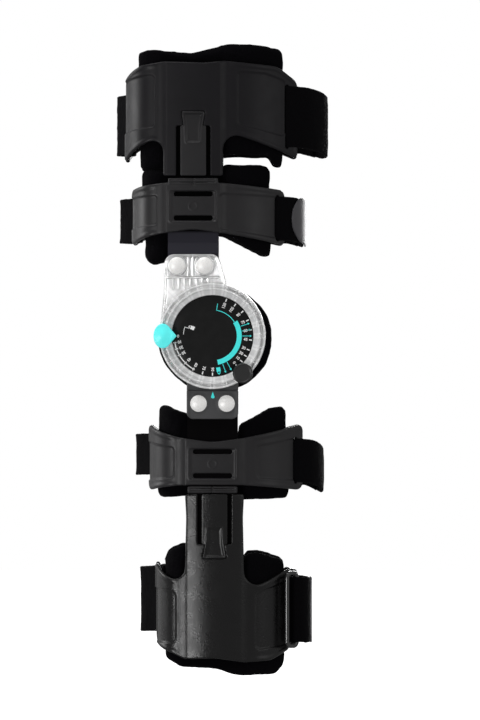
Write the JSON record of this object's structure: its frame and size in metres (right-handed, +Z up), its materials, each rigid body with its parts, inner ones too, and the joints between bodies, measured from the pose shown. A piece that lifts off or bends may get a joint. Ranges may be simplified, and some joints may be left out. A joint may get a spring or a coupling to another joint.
{
  "type": "hinged knee brace",
  "caption": "Hinged range-of-motion knee brace with dial stops, telescoping padded thigh and calf cuffs and webbing straps.",
  "frame": {"origin": "on the knee hinge axis, midway between the lateral and the medial hinge", "axes": "+Z up along the thigh, +X to the back of the leg, -Y to the lateral side; the hinge axis lies along Y"},
  "size_m": [0.159, 0.172, 0.4709],
  "materials": {
    "shell_plastic": "moulded, fine grain",
    "arm_plastic": "moulded, coarse grain",
    "bar_metal": "satin dark navy coating",
    "clear_plastic": "clear polycarbonate",
    "dial_print": "printed black dial",
    "rivet_steel": "polished dome",
    "stop_black": "soft satin",
    "stop_teal": "bright teal",
    "pad_fabric": "brushed loop fabric over foam",
    "strap_webbing": "brushed loop webbing",
    "hook_tape": "hook tape with a smooth back",
    "ring_plastic": "glossy"
  },
  "bodies": {
    "thigh_frame": {"lateral_upper_bar": "bar_metal", "lateral_hinge_cover": "clear_plastic", "lateral_hinge_backplate": "clear_plastic", "lateral_dial_plate": "dial_print", "lateral_pivot_rivet": "rivet_steel", "lateral_upper_rivets": "rivet_steel", "lateral_knee_pad": "pad_fabric", "lateral_thigh_cuff": "shell_plastic", "lateral_thigh_cuff_pad": "pad_fabric", "medial_upper_bar": "bar_metal", "medial_hinge_cover": "clear_plastic", "medial_hinge_backplate": "clear_plastic", "medial_dial_plate": "dial_print", "medial_pivot_rivet": "rivet_steel", "medial_upper_rivets": "rivet_steel", "medial_knee_pad": "pad_fabric", "medial_thigh_cuff": "shell_plastic", "medial_thigh_cuff_pad": "pad_fabric", "lower_thigh_front_strap": "strap_webbing", "lower_thigh_back_strap": "strap_webbing", "lower_thigh_hook_tab": "hook_tape"},
    "thigh_shells": {"lateral_thigh_shell": "shell_plastic", "lateral_thigh_pad": "pad_fabric", "medial_thigh_shell": "shell_plastic", "medial_thigh_pad": "pad_fabric", "upper_thigh_front_strap": "strap_webbing", "upper_thigh_back_strap": "strap_webbing", "upper_thigh_hook_tab": "hook_tape"},
    "calf_frame": {"lateral_lower_arm": "arm_plastic", "lateral_lower_bar": "bar_metal", "lateral_lower_rivets": "rivet_steel", "lateral_calf_cuff": "shell_plastic", "lateral_calf_cuff_pad": "pad_fabric", "medial_lower_arm": "arm_plastic", "medial_lower_bar": "bar_metal", "medial_lower_rivets": "rivet_steel", "medial_calf_cuff": "shell_plastic", "medial_calf_cuff_pad": "pad_fabric", "upper_calf_front_strap": "strap_webbing", "upper_calf_back_strap": "strap_webbing", "upper_calf_hook_tab": "hook_tape"},
    "calf_shells": {"lateral_calf_shell": "shell_plastic", "lateral_calf_pad": "pad_fabric", "lateral_calf_strap_ring": "ring_plastic", "medial_calf_shell": "shell_plastic", "medial_calf_pad": "pad_fabric", "medial_calf_strap_ring": "ring_plastic", "lower_calf_front_strap": "strap_webbing", "lower_calf_back_strap": "strap_webbing", "lower_calf_hook_tab": "hook_tape"},
    "lateral_flexion_slider": {"lateral_flexion_stop": "stop_black"},
    "lateral_extension_slider": {"lateral_extension_stop": "stop_teal"},
    "lateral_thigh_tab": {"lateral_thigh_release_tab": "shell_plastic"},
    "lateral_calf_tab": {"lateral_calf_release_tab": "shell_plastic"},
    "medial_flexion_slider": {"medial_flexion_stop": "stop_black"},
    "medial_extension_slider": {"medial_extension_stop": "stop_teal"},
    "medial_thigh_tab": {"medial_thigh_release_tab": "shell_plastic"},
    "medial_calf_tab": {"medial_calf_release_tab": "shell_plastic"}
  },
  "joints": [
    {"name": "knee_flexion", "type": "hinge", "parent": "thigh_frame", "child": "calf_frame", "pos_m": [0, 0, 0], "axis": [0, -1, 0], "range_deg": [0, 90]},
    {"name": "thigh_length", "type": "slide", "parent": "thigh_frame", "child": "thigh_shells", "axis": [0, 0, 1], "range_m": [0, 0.06]},
    {"name": "calf_length", "type": "slide", "parent": "calf_frame", "child": "calf_shells", "axis": [0, 0, -1], "range_m": [0, 0.06]},
    {"name": "lateral_flexion_limit", "type": "hinge", "parent": "thigh_frame", "child": "lateral_flexion_slider", "pos_m": [0, -0.08, 0], "axis": [0, -1, 0], "range_deg": [0, 120]},
    {"name": "lateral_extension_limit", "type": "hinge", "parent": "thigh_frame", "child": "lateral_extension_slider", "pos_m": [0, -0.08, 0], "axis": [0, -1, 0], "range_deg": [0, 90]},
    {"name": "lateral_thigh_release", "type": "hinge", "parent": "thigh_shells", "child": "lateral_thigh_tab", "pos_m": [-0.0145, -0.0704, 0.158], "axis": [-1, 0, 0], "range_deg": [0, 5], "stiffness_Nm_per_rad": 0.5},
    {"name": "lateral_calf_release", "type": "hinge", "parent": "calf_shells", "child": "lateral_calf_tab", "pos_m": [0.0015, -0.0704, -0.1545], "axis": [1, 0, 0], "range_deg": [0, 5], "stiffness_Nm_per_rad": 0.5},
    {"name": "medial_flexion_limit", "type": "hinge", "parent": "thigh_frame", "child": "medial_flexion_slider", "pos_m": [0, 0.08, 0], "axis": [0, -1, 0], "range_deg": [0, 120]},
    {"name": "medial_extension_limit", "type": "hinge", "parent": "thigh_frame", "child": "medial_extension_slider", "pos_m": [0, 0.08, 0], "axis": [0, -1, 0], "range_deg": [0, 90]},
    {"name": "medial_thigh_release", "type": "hinge", "parent": "thigh_shells", "child": "medial_thigh_tab", "pos_m": [-0.0145, 0.0704, 0.158], "axis": [1, 0, 0], "range_deg": [0, 5], "stiffness_Nm_per_rad": 0.5},
    {"name": "medial_calf_release", "type": "hinge", "parent": "calf_shells", "child": "medial_calf_tab", "pos_m": [0.0015, 0.0704, -0.1545], "axis": [-1, 0, 0], "range_deg": [0, 5], "stiffness_Nm_per_rad": 0.5}
  ]
}
